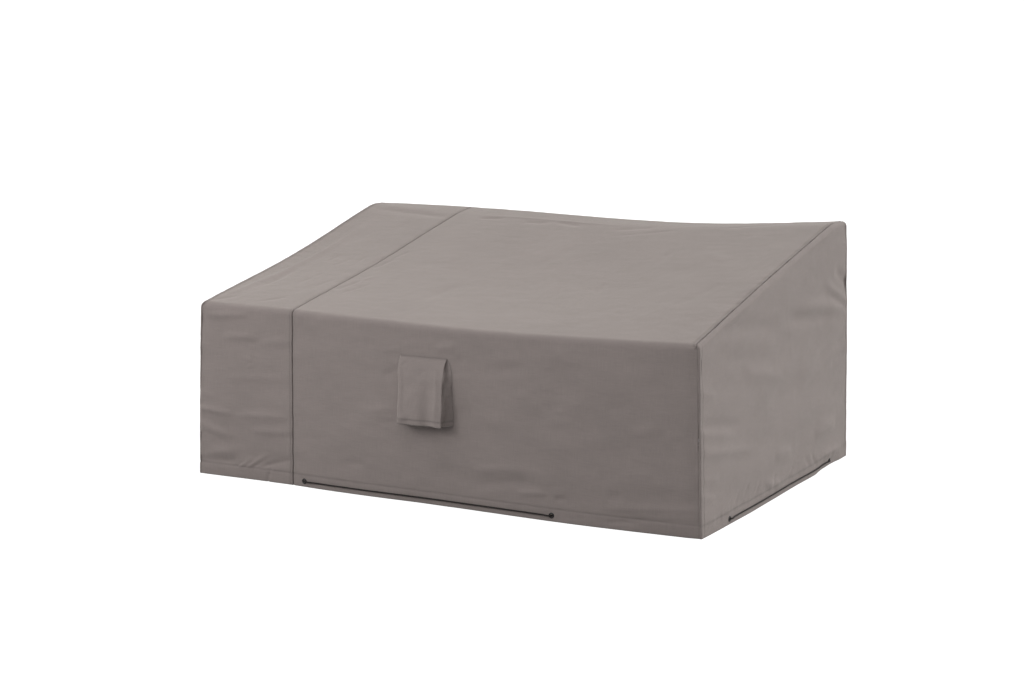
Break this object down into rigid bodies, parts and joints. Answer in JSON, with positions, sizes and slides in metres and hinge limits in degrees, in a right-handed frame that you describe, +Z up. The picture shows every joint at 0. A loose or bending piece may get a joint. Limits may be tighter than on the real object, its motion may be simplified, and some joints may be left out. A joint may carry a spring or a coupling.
{
  "type": "patio furniture cover",
  "caption": "Fitted cloth cover for a patio sofa, with a sloped top, a flat ridge, a vent hood on the front and elastic cords at the hem.",
  "frame": {"origin": "on the ground, in the middle of the cover's outer box", "axes": "+X along the width to the viewer's right, +Y from the front to the back, +Z up"},
  "size_m": [1.7784, 1.26, 0.7825],
  "materials": {
    "cover_cloth": "plain woven polyester, matte with a faint sheen",
    "eyelet": "black moulded plastic, satin",
    "elastic_cord": "braided elastic, dark brown-black"
  },
  "bodies": {
    "root": {"wide_main_strip": "cover_cloth", "narrow_main_strip": "cover_cloth", "right_side_panel": "cover_cloth", "left_side_panel": "cover_cloth", "vent_hood": "cover_cloth", "eyelet_front_left": "eyelet", "eyelet_front_right": "eyelet", "eyelet_right_fore": "eyelet", "eyelet_right_aft": "eyelet", "eyelet_left_fore": "eyelet", "eyelet_left_aft": "eyelet", "front_cord": "elastic_cord", "right_cord": "elastic_cord", "left_cord": "elastic_cord"}
  },
  "joints": []
}
